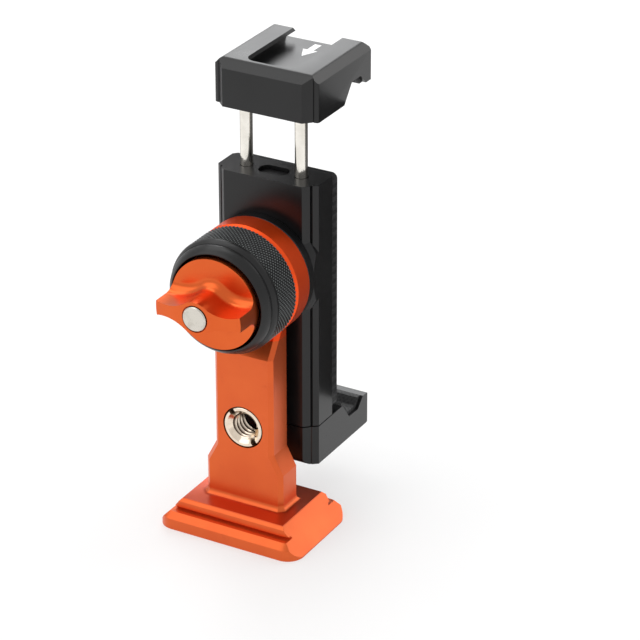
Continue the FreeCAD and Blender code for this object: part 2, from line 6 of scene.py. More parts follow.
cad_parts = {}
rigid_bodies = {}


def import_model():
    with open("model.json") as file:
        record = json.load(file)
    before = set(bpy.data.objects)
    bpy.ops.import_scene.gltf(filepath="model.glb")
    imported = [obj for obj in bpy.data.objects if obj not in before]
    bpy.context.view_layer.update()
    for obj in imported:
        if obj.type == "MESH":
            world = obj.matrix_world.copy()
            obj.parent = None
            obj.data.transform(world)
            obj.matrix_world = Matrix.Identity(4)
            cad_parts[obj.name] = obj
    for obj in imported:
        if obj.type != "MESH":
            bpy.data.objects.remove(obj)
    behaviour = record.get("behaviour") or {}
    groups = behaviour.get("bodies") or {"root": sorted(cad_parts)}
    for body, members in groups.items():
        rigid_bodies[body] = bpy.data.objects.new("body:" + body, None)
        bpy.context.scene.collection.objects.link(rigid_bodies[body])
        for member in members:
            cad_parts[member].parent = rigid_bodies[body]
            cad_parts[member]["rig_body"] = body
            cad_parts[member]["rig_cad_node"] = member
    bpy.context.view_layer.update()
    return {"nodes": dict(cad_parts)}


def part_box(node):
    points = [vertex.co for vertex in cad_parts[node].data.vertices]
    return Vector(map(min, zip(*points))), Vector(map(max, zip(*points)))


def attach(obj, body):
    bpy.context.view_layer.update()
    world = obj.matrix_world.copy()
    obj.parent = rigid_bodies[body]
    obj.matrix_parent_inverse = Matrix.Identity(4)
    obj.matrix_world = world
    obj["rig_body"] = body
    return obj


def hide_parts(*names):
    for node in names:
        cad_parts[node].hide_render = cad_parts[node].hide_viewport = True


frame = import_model()
mm = 0.001
tiny = 0.000001  # what counts as the same place, in metres
weld = 0.000002  # merges the loose triangles of a copied node
wideWeld = 0.000004  # merges what a bevel, a cut or a spin leaves
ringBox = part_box("knurled_ring")
pivotZ = ringBox[0].z / 2 + ringBox[1].z / 2  # height of the axis of the ring and the wing knob
quarter = math.radians(90)


# shader maths as expressions

class Wire:
    # wraps a socket, so that masks can be added and multiplied
    def __init__(self, finish, socket):
        self.finish = finish
        self.socket = socket

    def math(self, operation, *others):
        return self.finish.node("ShaderNodeMath", {"operation": operation}, dict(enumerate((self,) + others)))

    def __add__(self, other):
        return self.math("ADD", other)

    def __radd__(self, other):
        return self.math("ADD", other)

    def __sub__(self, other):
        return self.math("SUBTRACT", other)

    def __rsub__(self, other):
        return self.finish.number(other).math("SUBTRACT", self)

    def __mul__(self, other):
        return self.math("MULTIPLY", other)

    def __rmul__(self, other):
        return self.math("MULTIPLY", other)

    def __truediv__(self, other):
        return self.math("DIVIDE", other)

    def __pow__(self, other):
        return self.math("POWER", other)

    def below(self, limit):
        return self.math("LESS_THAN", limit)

    def above(self, limit):
        return self.math("GREATER_THAN", limit)

    def most(self, other):
        return self.math("MAXIMUM", other)

    def clamped(self):
        return self.finish.node("ShaderNodeClamp", {}, {"Value": self})


class Finish:
    # one procedural material
    def __init__(self, name):
        self.material = bpy.data.materials.new(name)
        self.material.use_nodes = True
        self.tree = self.material.node_tree
        self.surface = self.tree.nodes["Principled BSDF"]
        self.place = self.tree.nodes.new("ShaderNodeTexCoord").outputs["Object"]

    def node(self, kind, settings, inputs, output=0):
        made = self.tree.nodes.new(kind)
        for key, value in settings.items():
            if key == "stops":
                ramp = made.color_ramp
                while len(ramp.elements) < len(value):
                    ramp.elements.new(0.5)
                for element, (at, colour) in zip(ramp.elements, value):
                    element.position = at
                    element.color = colour
            else:
                setattr(made, key, value)
        for key, value in inputs.items():
            self.feed(made.inputs[key], value)
        return Wire(self, made.outputs[output])

    def feed(self, socket, value):
        if isinstance(value, Wire):
            value = value.socket
        if isinstance(value, bpy.types.NodeSocket):
            self.tree.links.new(value, socket)
        else:
            socket.default_value = value

    def number(self, value):
        made = self.tree.nodes.new("ShaderNodeValue")
        made.outputs[0].default_value = value
        return Wire(self, made.outputs[0])

    def set(self, **values):
        for key, value in values.items():
            self.feed(self.surface.inputs[key.replace("_", " ")], value)

    def axes(self, turn=(0, 0, 0), centre=(0, 0, 0)):
        moved = self.node("ShaderNodeMapping", {"vector_type": "TEXTURE"},
                          {"Vector": self.place, "Location": centre, "Rotation": turn})
        split = self.tree.nodes.new("ShaderNodeSeparateXYZ")
        self.feed(split.inputs[0], moved)
        return [Wire(self, split.outputs[i]) for i in range(3)]

    def noise(self, size, detail=2.0, rough=0.5, stretch=(1, 1, 1)):
        # cloudy value about 0.5; size is the width of a spot in metres
        scaled = self.node("ShaderNodeMapping", {"vector_type": "POINT"},
                           {"Vector": self.place, "Scale": tuple(1 / s for s in stretch)})
        return self.node("ShaderNodeTexNoise", {"noise_dimensions": "3D"},
                         {"Vector": scaled, "Scale": 1 / size, "Detail": detail, "Roughness": rough})

    def latheMarks(self, away, lines):
        # fine rings; away is the distance from the axis, lines the rings to a metre
        return self.node("ShaderNodeTexNoise", {"noise_dimensions": "1D"},
                         {"W": away, "Scale": lines, "Detail": 1.0})

    def blend(self, factor, first, second):
        return self.node("ShaderNodeMix", {"data_type": "RGBA"}, {0: factor, 6: first, 7: second}, 2)

    def bump(self, height, depth, strength=1.0, under=None):
        inputs = {"Height": height, "Distance": depth, "Strength": strength}
        if under is not None:
            inputs["Normal"] = under
        return self.node("ShaderNodeBump", {}, inputs)


def fromAxis(x, z):
    # distance from an axis along Y
    return (x * x + z * z) ** 0.5


def rgb(red, green, blue):
    # a screen colour of 0 to 255 as the linear colour that Blender uses
    def linear(c):
        c = c / 255
        return c / 12.92 if c <= 0.04045 else ((c + 0.055) / 1.055) ** 2.4
    return (linear(red), linear(green), linear(blue), 1.0)


# materials

orangeMetal = {
    "colour": rgb(228, 104, 47),
    "deep": rgb(217, 91, 40),
    "smudge": rgb(188, 66, 28),
    "driftSize": 0.011,
    "smudgeSize": 0.004,
    "grain": 0.00014,
    "grainDepth": 0.000004,
    "latheLines": 9000.0,
    "metal": {"blasted": 0.8, "turned": 0.96},
    "roughness": {"blasted": 0.36, "turned": 0.29},
    "roughnessDrift": 0.1,
    "oxide": 0.14,
    "oxideRoughness": 0.18,
    # the flat top of the foot: its painted dark reflection, how much of it, its heights
    "footTop": rgb(176, 52, 20),
    "footTopShare": 0.8,
    "footTopHeights": (6.75 * mm, 7.2 * mm),
    # the rim of the round head: its painted reflection, a brighter, redder tone
    "rim": rgb(255, 84, 22),
    "rimRadius": 13.1 * mm,
    "rimAbove": 50 * mm,
    "toneEdge": 0.3 * mm,
}


def anodisedOrange(name, kind):
    # dyed aluminium: fine grain, a faint drift of the dye, a clear oxide skin
    look = orangeMetal
    finish = Finish(name)
    drift = finish.noise(look["driftSize"], 3.0)
    grain = finish.noise(look["grain"], 3.0, 0.6)
    smudge = finish.noise(look["smudgeSize"], 4.0, 0.6)
    colour = finish.blend((drift * 1.6 - 0.3).clamped(), look["deep"], look["colour"])
    colour = finish.blend(((smudge - 0.62) * 1.5).clamped(), colour, look["smudge"])
    height = grain
    if kind == "blasted":
        # painted dark reflection on the flat top of the foot, and a painted brighter, redder reflection on the
        # turned rim of the head
        x, y, z = finish.axes()
        low, high = look["footTopHeights"]
        flat = ((z - low) / look["toneEdge"]).clamped() * z.below(high)
        colour = finish.blend(flat * look["footTopShare"], colour, look["footTop"])
        # painted reflection: the rim of the head is given a brighter, redder tone
        rim = ((fromAxis(x, z - pivotZ) - look["rimRadius"]) / look["toneEdge"]).clamped()
        colour = finish.blend(rim * z.above(look["rimAbove"]), colour, look["rim"])
    else:
        x, y, z = finish.axes(centre=(0, 0, pivotZ))
        height = grain * 0.6 + finish.latheMarks(fromAxis(x, z), look["latheLines"]) * 0.7
    finish.set(Base_Color=colour, Metallic=look["metal"][kind],
               Roughness=look["roughness"][kind] + (smudge - 0.5) * look["roughnessDrift"],
               Coat_Weight=look["oxide"], Coat_Roughness=look["oxideRoughness"],
               Normal=finish.bump(height, look["grainDepth"]))
    return finish.material


blackMetal = {
    "colour": rgb(9, 9, 10),
    "worn": rgb(18, 18, 19),
    "driftSize": 0.009,
    "gloss": 1.46,
    "roughness": 0.3,
    "roughnessDrift": 0.12,
    "grain": 0.00012,
    "grainDepth": 0.000004,
}


def anodisedBlack(name, roughness=None):
    look = blackMetal
    finish = Finish(name)
    grain = finish.noise(look["grain"], 3.0, 0.6)
    drift = finish.noise(look["driftSize"], 4.0, 0.55)
    colour = finish.blend((drift * 2 - 0.6).clamped(), look["colour"], look["worn"])
    base = roughness or look["roughness"]
    finish.set(Base_Color=colour, Metallic=0.0, Roughness=base + (drift - 0.5) * look["roughnessDrift"],
               IOR=look["gloss"], Normal=finish.bump(grain, look["grainDepth"]))
    return finish.material


knurlLook = {
    # near-black painted shade in the grooves, grey tips for rubbed wear with painted highlight
    "groove": rgb(1, 1, 2),
    "tip": rgb(128, 132, 132),
    "wearSize": 0.003,
    "tipFrom": 13.8 * mm,
    "tipHeight": 0.3 * mm,
    "gloss": 1.3,
    "roughness": 0.36,
    "rubbed": 0.1,
    "grain": 0.0001,
    "grainDepth": 0.000003,
}


def knurledBlack(name):
    # painted shade in the grooves between the teeth, and the tooth tips rubbed brighter with painted highlight
    look = knurlLook
    finish = Finish(name)
    x, y, z = finish.axes(centre=(0, 0, pivotZ))
    tip = ((fromAxis(x, z) - look["tipFrom"]) / look["tipHeight"]).clamped()
    wear = finish.noise(look["wearSize"], 3.0)
    tone = finish.blend((tip * tip * tip * (0.6 + wear)).clamped(), look["groove"], look["tip"])
    finish.set(Base_Color=tone, Roughness=look["roughness"] - tip * look["rubbed"], IOR=look["gloss"],
               Normal=finish.bump(finish.noise(look["grain"]), look["grainDepth"]))
    return finish.material


steelLook = {
    "colour": rgb(214, 209, 199),
    "dull": rgb(170, 163, 150),
    "filmSize": 0.0022,
    "roughness": 0.2,
    "roughnessDrift": 0.16,
    "latheLines": 14000.0,
    "grain": 0.0001,
    "grainDepth": 0.000003,
}


def turnedSteel(name, centre=None, turn=(0, 0, 0), roughness=None):
    # lathe rings about the centre's axis, with a dull film here and there
    look = steelLook
    finish = Finish(name)
    film = finish.noise(look["filmSize"], 4.0, 0.6)
    tone = finish.blend(((film - 0.5) * 2.2).clamped(), look["colour"], look["dull"])
    height = finish.noise(look["grain"], 2.0)
    if centre is not None:
        x, y, z = finish.axes(turn, centre)
        height = finish.latheMarks(fromAxis(x, z), look["latheLines"]) + height * 0.3
    base = roughness or look["roughness"]
    finish.set(Base_Color=tone, Metallic=1.0, Roughness=base + (film - 0.5) * look["roughnessDrift"],
               Normal=finish.bump(height, look["grainDepth"]))
    return finish.material


bushLook = {
    "clean": rgb(242, 226, 206),
    "worn": rgb(216, 199, 178),
    "recessShade": rgb(70, 52, 40),
    "filmSize": 0.0012,
    "roughness": 0.16,
    "recessRoughness": 0.3,
    "roughnessDrift": 0.12,
    "latheLines": 9000.0,
    "grainDepth": 0.000004,
    # where the painted shade sits: radii and depths behind the face
    "sinkRadius": 4.25 * mm,
    "sinkSlope": 0.85,
    "bore": 3.25 * mm,
    "slotFrom": 0.25 * mm,
    "slotFade": 0.6 * mm,
    "rootFrom": 2.72 * mm,
    "rootFade": 0.3 * mm,
    "threadFrom": 0.95 * mm,
}


def shadedBushSteel(name):
    # camera bush: bright turned face and thread crests, painted shade in the slot and between the threads
    look = bushLook
    finish = Finish(name)
    low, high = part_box("thread_bush")
    x, y, z = finish.axes(centre=(0, low.y, (low.z + high.z) / 2))
    away = fromAxis(x, z)
    sink = ((look["sinkRadius"] - away) * look["sinkSlope"]).most(0.0)
    inSlot = ((y - sink - look["slotFrom"]) / look["slotFade"]).clamped() * away.above(look["bore"])
    root = ((away - look["rootFrom"]) / look["rootFade"]).clamped()
    root = root * away.below(look["bore"]) * y.above(look["threadFrom"])
    film = finish.noise(look["filmSize"], 4.0, 0.6)
    # painted shade: darker and rougher in the driver slot and between the threads
    recessShade = (inSlot.most(root) * (0.75 + film * 0.4)).clamped()
    clean = finish.blend(((film - 0.45) * 2).clamped(), look["clean"], look["worn"])
    rings = finish.latheMarks(away, look["latheLines"])
    roughness = look["roughness"] + recessShade * look["recessRoughness"] + (film - 0.5) * look["roughnessDrift"]
    finish.set(Base_Color=finish.blend(recessShade, clean, look["recessShade"]), Metallic=1.0, Roughness=roughness,
               Normal=finish.bump(rings + film, look["grainDepth"]))
    return finish.material


rodLook = {
    "colour": rgb(246, 242, 234),
    "dull": rgb(214, 209, 198),
    "filmSize": 0.003,
    "markWidth": 0.00035,
    "markDepth": 0.000002,
    "roughness": 0.09,
    "markRoughness": 0.12,
}


def groundRod(name):
    # polished rod with faint marks round it
    look = rodLook
    finish = Finish(name)
    marks = finish.noise(look["markWidth"], 2.0, 0.5, (40, 40, 1))
    film = finish.noise(look["filmSize"], 3.0)
    tone = finish.blend((film * 1.4 - 0.35).clamped(), look["colour"], look["dull"])
    finish.set(Base_Color=tone, Metallic=1.0, Roughness=look["roughness"] + marks * look["markRoughness"],
               Normal=finish.bump(marks, look["markDepth"]))
    return finish.material


rubberLook = {
    "colour": rgb(24, 24, 25),
    "dust": rgb(46, 46, 47),
    "dustSize": 0.0016,
    "roughness": 0.62,
    "roughnessDrift": 0.2,
    "pores": 0.00015,
    "poreDepth": 0.00001,
    # pitch and depth of the ribs
    "padRibs": (0.0011, 0.0001),
    "backRibs": (0.0022, 0.00022),
}


def ribbedRubber(name, ribSize, crossed):
    # moulded rubber: straight ribs, or two sets of ribs that cross
    look = rubberLook
    finish = Finish(name)
    pitch, depth = ribSize
    x, y, z = finish.axes()
    dust = finish.noise(look["dustSize"], 4.0, 0.6)
    pores = finish.noise(look["pores"], 2.0)
    perMetre = 2 * math.pi / pitch
    if crossed:
        ribs = ((x + y) * perMetre).math("SINE").most(((x - y) * perMetre).math("SINE"))
    else:
        ribs = (z * perMetre).math("SINE")
    ribs = (ribs * 1.6 + 0.5).clamped()
    tone = finish.blend((ribs * 0.5 + dust * 0.6 - 0.3).clamped(), look["colour"], look["dust"])
    fine = finish.bump(pores, look["poreDepth"])
    finish.set(Base_Color=tone, Roughness=look["roughness"] + (dust - 0.5) * look["roughnessDrift"],
               Normal=finish.bump(ribs, depth, 1.0, fine))
    return finish.material


plasticLook = {
    "colour": rgb(20, 20, 21),
    "pale": rgb(34, 34, 35),
    "cloudSize": 0.002,
    "roughness": 0.5,
    "roughnessDrift": 0.1,
    "grain": 0.0002,
    "grainDepth": 0.000008,
}


def plainPlastic(name):
    look = plasticLook
    finish = Finish(name)
    grain = finish.noise(look["grain"], 3.0)
    cloud = finish.noise(look["cloudSize"], 3.0)
    finish.set(Base_Color=finish.blend(cloud, look["colour"], look["pale"]),
               Roughness=look["roughness"] + (cloud - 0.5) * look["roughnessDrift"],
               Normal=finish.bump(grain, look["grainDepth"]))
    return finish.material


printLook = {
    "colour": rgb(250, 250, 250),
    "worn": rgb(214, 214, 215),
    "wearSize": 0.0004,
    "wearDepth": 0.000004,
    "roughness": 0.5,
    "roughnessDrift": 0.2,
}


def printedWhite(name):
    look = printLook
    finish = Finish(name)
    wear = finish.noise(look["wearSize"], 4.0, 0.6)
    finish.set(Base_Color=finish.blend(((wear - 0.55) * 4).clamped(), look["colour"], look["worn"]),
               Roughness=look["roughness"] + (wear - 0.5) * look["roughnessDrift"],
               Normal=finish.bump(wear, look["wearDepth"]))
    return finish.material


print("materials")
orangeBlasted = anodisedOrange("orange_blasted", "blasted")
orangeTurned = anodisedOrange("orange_turned", "turned")
blackSatin = anodisedBlack("black_satin")
blackRing = anodisedBlack("black_ring", 0.33)
blackKnurl = knurledBlack("black_knurl")
bushSteel = shadedBushSteel("bush_steel")
capSteel = turnedSteel("cap_steel", (0, 0, pivotZ), roughness=0.24)
baseSteel = turnedSteel("base_bush_steel", (0, 0, 0), (quarter, 0, 0))
plainSteel = turnedSteel("plain_steel")
rodSteel = groundRod("rod_steel")
padRubber = ribbedRubber("pad_rubber", rubberLook["padRibs"], True)
backRubber = ribbedRubber("back_rubber", rubberLook["backRibs"], False)
plugPlastic = plainPlastic("plug_plastic")
arrowWhite = printedWhite("arrow_white")


# modelling helpers

def pickNone():
    if bpy.context.object and bpy.context.object.mode != "OBJECT":
        bpy.ops.object.mode_set(mode="OBJECT")
    bpy.ops.object.select_all(action="DESELECT")


def activate(piece):
    pickNone()
    piece.select_set(True)
    bpy.context.view_layer.objects.active = piece


def editAll(piece):
    # edit mode with the whole mesh selected
    activate(piece)
    bpy.ops.object.mode_set(mode="EDIT")
    bpy.ops.mesh.select_all(action="SELECT")


def objectMode():
    bpy.ops.object.mode_set(mode="OBJECT")


def placed():
    # the active object's place, turn and size go into its mesh
    bpy.ops.object.transform_apply(location=True, rotation=True, scale=True)


def extruded(move):
    bpy.ops.mesh.extrude_region_move(TRANSFORM_OT_translate={"value": move})


def facedOut():
    bpy.ops.mesh.select_all(action="SELECT")
    bpy.ops.mesh.normals_make_consistent(inside=False)


def pick(piece, kind, test):
    # edit mode with just the vertices, edges or faces that pass the test
    activate(piece)
    groups = {"VERT": piece.data.vertices, "EDGE": piece.data.edges, "FACE": piece.data.polygons}
    for group in groups.values():
        for item in group:
            item.select = False
    for item in groups[kind]:
        item.select = test(item)
    bpy.context.tool_settings.mesh_select_mode = [kind == name for name in groups]
    bpy.ops.object.mode_set(mode="EDIT")


def applied(piece, kind, **settings):
    activate(piece)
    modifier = piece.modifiers.new(kind.lower(), kind)
    for key, value in settings.items():
        setattr(modifier, key, value)
    bpy.ops.object.modifier_apply(modifier=modifier.name)


def cutAway(piece, cutter, **settings):
    applied(piece, "BOOLEAN", object=cutter, operation="DIFFERENCE", solver="EXACT", **settings)
    bpy.data.objects.remove(cutter)


def cutterBlock(size, place, turn=(0, 0, 0)):
    pickNone()
    bpy.ops.mesh.primitive_cube_add(size=1, location=place, rotation=turn)
    cutter = bpy.context.object
    cutter.scale = size
    placed()
    return cutter


def merged(piece):
    # flat faces joined again after a cut
    editAll(piece)
    bpy.ops.mesh.remove_doubles(threshold=wideWeld)
    bpy.ops.mesh.dissolve_limited(angle_limit=math.radians(0.4))
    bpy.ops.mesh.normals_make_consistent(inside=False)
    objectMode()


def dress(piece, body, material, slotName, smooth=30, *nodes):
    # last steps of each new piece: place into the mesh, shading, material, body
    activate(piece)
    placed()
    if smooth:
        bpy.ops.object.shade_smooth_by_angle(angle=math.radians(smooth))
    piece.data.materials.clear()
    piece.data.materials.append(material)
    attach(piece, body)
    if nodes:
        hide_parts(*nodes)
    return piece


def softened(node, body, material, slotName, width, reshape=None, rounds=(), sharp=24):
    # the node's own shape with its hard edges broken, as a tumbled or blasted part has them
    source = frame["nodes"][node]
    activate(source)
    bpy.ops.object.duplicate()
    piece = bpy.context.object
    piece.name = node + "_finished"
    piece.data.name = piece.name
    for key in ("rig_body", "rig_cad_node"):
        del piece[key]
    piece.parent = None
    bpy.ops.mesh.customdata_custom_splitnormals_clear()
    editAll(piece)
    bpy.ops.mesh.remove_doubles(threshold=weld)
    bpy.ops.mesh.dissolve_limited(angle_limit=math.radians(0.4))
    objectMode()
    if reshape:
        reshape(piece)
    for radius, steps, test in rounds:
        places = piece.data.vertices
        pick(piece, "EDGE", lambda edge: test(*[places[i].co / mm for i in edge.vertices]))
        bpy.ops.mesh.bevel(offset=radius * mm, segments=steps, profile=0.5, affect="EDGES", clamp_overlap=True)
        bpy.ops.mesh.select_mode(type="VERT")
        bpy.ops.mesh.select_all(action="SELECT")
        bpy.ops.mesh.remove_doubles(threshold=wideWeld)
        objectMode()
    bpy.ops.object.shade_smooth_by_angle(angle=math.radians(sharp))
    applied(piece, "BEVEL", width=width, segments=2, limit_method="ANGLE", angle_limit=math.radians(sharp),
            miter_outer="MITER_ARC", use_clamp_overlap=True, harden_normals=True)
    return dress(piece, body, material, slotName, 0, node)


# upright with its foot: own work on the copy of the node

uprightForm = {
    # end slopes of the foot: half length and height at both ends of the slope
    "footTop": (13.62 * mm, 7.0 * mm),
    "footBottom": (19.0 * mm, 0.35 * mm),
    # slope under the round head: back and up as in the solid, y and z of its middle, the block that cuts it
    "rampBack": 1.4,
    "rampUp": 2.2,
    "rampMiddle": (-1.0 * mm, 50.714 * mm),
    "rampBlock": (24 * mm, 8.6 * mm, 6 * mm),
    # sides of the waist, and the block that cuts each of them straight
    "waistHalf": 7.8 * mm,
    "waistMiddle": 50.5 * mm,
    "waistBlock": (6 * mm, 12 * mm, 10 * mm),
    # the round head, which these cuts spare
    "headRadius": 14.05 * mm,
    "headLength": 30 * mm,
    "headSteps": 144,
    # front bevel: half the diagonal of the square bar that cuts it, where it starts and how it runs up
    "barHalf": 1.6 * mm,
    "barStart": (8.1 * mm, -4.3 * mm, 46.0 * mm),
    "barRun": (0, 4.2 * mm, 6.6 * mm),
}


def sparedHead(cutter):
    bpy.ops.mesh.primitive_cylinder_add(vertices=uprightForm["headSteps"], radius=uprightForm["headRadius"],
                                        depth=uprightForm["headLength"], location=(0, 0, pivotZ),
                                        rotation=(quarter, 0, 0))
    head = bpy.context.object
    placed()
    cutAway(cutter, head)


def longerRamp(piece):
    # the slope under the round head runs on to the head's rim; the block's underside lies on the slope
    slope = math.atan2(uprightForm["rampBack"], uprightForm["rampUp"])
    y, z = uprightForm["rampMiddle"]
    half = uprightForm["rampBlock"][2] / 2
    cutter = cutterBlock(uprightForm["rampBlock"], (0, y - half * math.cos(slope), z + half * math.sin(slope)),
                         (quarter - slope, 0, 0))
    sparedHead(cutter)
    cutAway(piece, cutter)


def straightSides(piece):
    # the waist's sides run straight up to the round head
    middle = uprightForm["waistHalf"] + uprightForm["waistBlock"][0] / 2
    for side in (-1, 1):
        cutter = cutterBlock(uprightForm["waistBlock"], (side * middle, 0, uprightForm["waistMiddle"]))
        sparedHead(cutter)
        cutAway(piece, cutter)


def longerBevel(piece):
    # the bevel of the front edges runs on along the slope
    x, y, z = uprightForm["barStart"]
    for side in (-1, 1):
        pickNone()
        bpy.ops.mesh.primitive_plane_add(size=uprightForm["barHalf"] * math.sqrt(2), location=(side * x, y, z),
                                         rotation=(0, 0, quarter / 2))
        cutter = bpy.context.object
        placed()
        editAll(cutter)
        bpy.ops.mesh.select_mode(type="FACE")
        bpy.ops.mesh.select_all(action="SELECT")
        extruded(uprightForm["barRun"])
        facedOut()
        objectMode()
        cutAway(piece, cutter, use_self=True)


def milledEnds(piece):
    # the sloping ends of the foot run down almost to its underside
    places = piece.data.vertices
    topX, topZ = uprightForm["footTop"]
    bottomX, bottomZ = uprightForm["footBottom"]
    for side in (1, -1):
        pick(piece, "FACE", lambda face: all(places[i].co.z < topZ + 0.02 * mm for i in face.vertices))
        bpy.ops.mesh.bisect(plane_co=(side * topX, 0, topZ), plane_no=(side * (topZ - bottomZ), 0, bottomX - topX),
                            use_fill=True, clear_outer=True, threshold=tiny)
        objectMode()


def finishedUpright(piece):
    longerRamp(piece)
    straightSides(piece)
    merged(piece)
    longerBevel(piece)
    merged(piece)
    milledEnds(piece)


# the two jaws

def movedCorners(piece, corners):
    # each corner line, left and right, goes to its new place
    for oldX, oldY, newX, newY, lift in corners:
        for top in (False, True):
            def found(v):
                beside = abs(abs(v.co.x) - oldX * mm) < 0.02 * mm
                return (beside and (oldY is None or abs(v.co.y - oldY * mm) < 0.02 * mm)
                        and (v.co.z > upperJawForm["topFrom"]) == top)
            pick(piece, "VERT", found)
            bpy.ops.transform.resize(value=(newX / oldX, 1, 1), center_override=(0, 0, 0))
            bpy.ops.transform.translate(value=(0, (newY - oldY) * mm if oldY else 0, lift * mm if top else 0))
            objectMode()


lowerJawForm = {
    # its seat under the body, and how much deeper it lies, so that the joint shows as a dark line
    "seatAbove": 24.85 * mm,
    "seatBefore": 16.2 * mm,
    "seatDrop": 0.14 * mm,
    # front corners: x, y in the solid, x, y here in mm; the notch is nearly closed
    "corners": (
        (11.65, 8.05, 11.75, 7.58, 0),
        (12.1, 7.7, 11.95, 7.62, 0),
    ),
}


def finishedLowerJaw(piece):
    pick(piece, "VERT", lambda v: v.co.z > lowerJawForm["seatAbove"] and v.co.y < lowerJawForm["seatBefore"])
    bpy.ops.transform.translate(value=(0, 0, -lowerJawForm["seatDrop"]))
    objectMode()
    movedCorners(piece, lowerJawForm["corners"])


upperJawForm = {
    "topFrom": 111 * mm,
    # front corners, a little wider than the solid: broad bevel, fine notch, narrow land
    # x, y in the solid, x, y here, rise of the upper end, in mm
    "corners": (
        (11.65, 7.4, 12.12, 7.82, 0.32),
        (11.65, 8.05, 12.24, 7.99, -0.3),
        (11.74, 7.98, 12.3, 7.96, -0.3),
        (12.1, 7.7, 12.5, 7.86, -0.3),
        (13.25, 8.65, 13.5, 8.1, 0),
        (13.25, None, 13.5, None, 0),
        (11.45, None, 11.7, None, 0),
    ),
}
jawLow, jawTop = [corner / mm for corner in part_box("upper_jaw")]


def finishedUpperJaw(piece):
    movedCorners(piece, upperJawForm["corners"])


def isUpright(a, b):
    return abs(a.z - b.z) > 0.4 and (a - b).length < abs(a.z - b.z) * 1.02


def jawLand(a, b):
    # upright edges of the narrow land beside the notch
    return isUpright(a, b) and abs(a.x) > 13.4 and a.y < 9


def backCorner(a, b):
    # upright edges at the back: outer corners and the open ends of the rails
    return isUpright(a, b) and a.y > jawTop.y - 1.2 and a.z > jawLow.z + 2


def topEdge(a, b):
    # the outline of the flat top
    high = min(a.z, b.z) > jawTop.z - 0.01
    return high and (min(abs(a.x), abs(b.x)) > 11.6 or max(a.y, b.y) < 8.4)


upperJawRounds = (
    # radius in mm, segments, edges
    (0.45, 3, jawLand),
    (0.7, 3, backCorner),
    (0.5, 3, topEdge),
)


# CAD pieces with broken edges

edgeBreaks = (
    # node, body, material, slot, width of the broken edge in mm
    ("foot_upright", "base", orangeBlasted, "orange_anodised", 0.22),
    ("clamp_body", "clamp", blackSatin, "black_anodised", 0.12),
    ("swivel_disc", "clamp", blackSatin, "black_anodised", 0.12),
    ("lower_jaw", "clamp", blackSatin, "black_anodised", 0.18),
    ("upper_jaw", "jaw", blackSatin, "black_anodised", 0.2),
    ("wing_knob", "knob", orangeTurned, "orange_anodised", 0.2),
    ("knob_cap", "knob", capSteel, "stainless_steel", 0.08),
    ("guide_rod_left", "jaw", rodSteel, "polished_steel", 0.15),
    ("guide_rod_right", "jaw", rodSteel, "polished_steel", 0.15),
    ("back_pad", "clamp", backRubber, "rubber", 0.4),
)
ownWork = {
    "foot_upright": (finishedUpright, ()),
    "lower_jaw": (finishedLowerJaw, ()),
    "upper_jaw": (finishedUpperJaw, upperJawRounds),
}
capShare = 0.955  # the cap shows this much of the solid's radius


def shrunk(piece, factor, centre):
    # the whole piece drawn in towards an axis along Y
    editAll(piece)
    bpy.ops.transform.resize(value=(factor, 1, factor), center_override=centre)
    objectMode()


for node, body, material, slotName, width in edgeBreaks:
    reshape, rounds = ownWork.get(node, (None, ()))
    made = softened(node, body, material, slotName, width * mm, reshape, rounds)
    if node == "knob_cap":
        shrunk(made, capShare, (0, 0, pivotZ))

plainNodes = {
    "base_bush": baseSteel,
    "pivot_sleeve": plainSteel,
    "brake_bar": plainSteel,
    "jaw_screws": plainSteel,
    "lock_screw": plainSteel,
    "slot_plug": plugPlastic,
    "lower_jaw_pad": padRubber,
    "upper_jaw_pad": padRubber,
}
for node, material in plainNodes.items():
    frame["nodes"][node].data.materials.clear()
    frame["nodes"][node].data.materials.append(material)
print("edges")


# knurled ring

ring = {
    "radius": 14.15 * mm,
    "frontRadius": 13.35 * mm,
    "lipInner": 11.9 * mm,
    "recess": 11.63 * mm,
    "bore": 5.08 * mm,
    "knurlLength": 8.0 * mm,
    "shoulderLength": 1.8 * mm,
    "lip": 2.3 * mm,
    "lipBreak": 0.12 * mm,
    "web": 4.0 * mm,
    "backBevel": 0.5 * mm,
    "grooveDepth": 0.16 * mm,
    "grooveHalf": 0.09 * mm,
    # curves of the shoulder and the lip in mm: forward from where each begins, in from its radius
    "shoulder": ((0.05, 0.1), (0.25, 0.04), (0.7, 0.14), (1.2, 0.36)),
    "lipCurve": ((0.14, 0.02), (0.6, 0.14), (1.2, 0.42), (1.8, 0.86)),
    "steps": 144,
    # the knurl
    "cellsRound": 84,
    "rows": 8,
    "toothHeight": 0.34 * mm,
}


def turnedPiece(name, profile, steps, height):
    # a lathe piece about an axis along Y: one circle, drawn on and widened from point to point
    pickNone()
    y, r = profile[0]
    bpy.ops.mesh.primitive_circle_add(vertices=steps, radius=r, location=(0, y, height), rotation=(quarter, 0, 0))
    piece = bpy.context.object
    piece.name = name
    placed()
    bpy.ops.object.mode_set(mode="EDIT")
    bpy.ops.mesh.select_mode(type="VERT")
    bpy.ops.mesh.select_all(action="SELECT")
    for (lastY, lastR), (nextY, nextR) in zip(profile, profile[1:]):
        extruded((0, nextY - lastY, 0))
        k = nextR / lastR
        if abs(k - 1) > tiny:
            bpy.ops.transform.resize(value=(k, 1, k), center_override=(0, nextY, height))
    bpy.ops.mesh.select_all(action="SELECT")
    bpy.ops.mesh.remove_doubles(threshold=weld)
    bpy.ops.mesh.normals_make_consistent(inside=False)
    objectMode()
    return piece


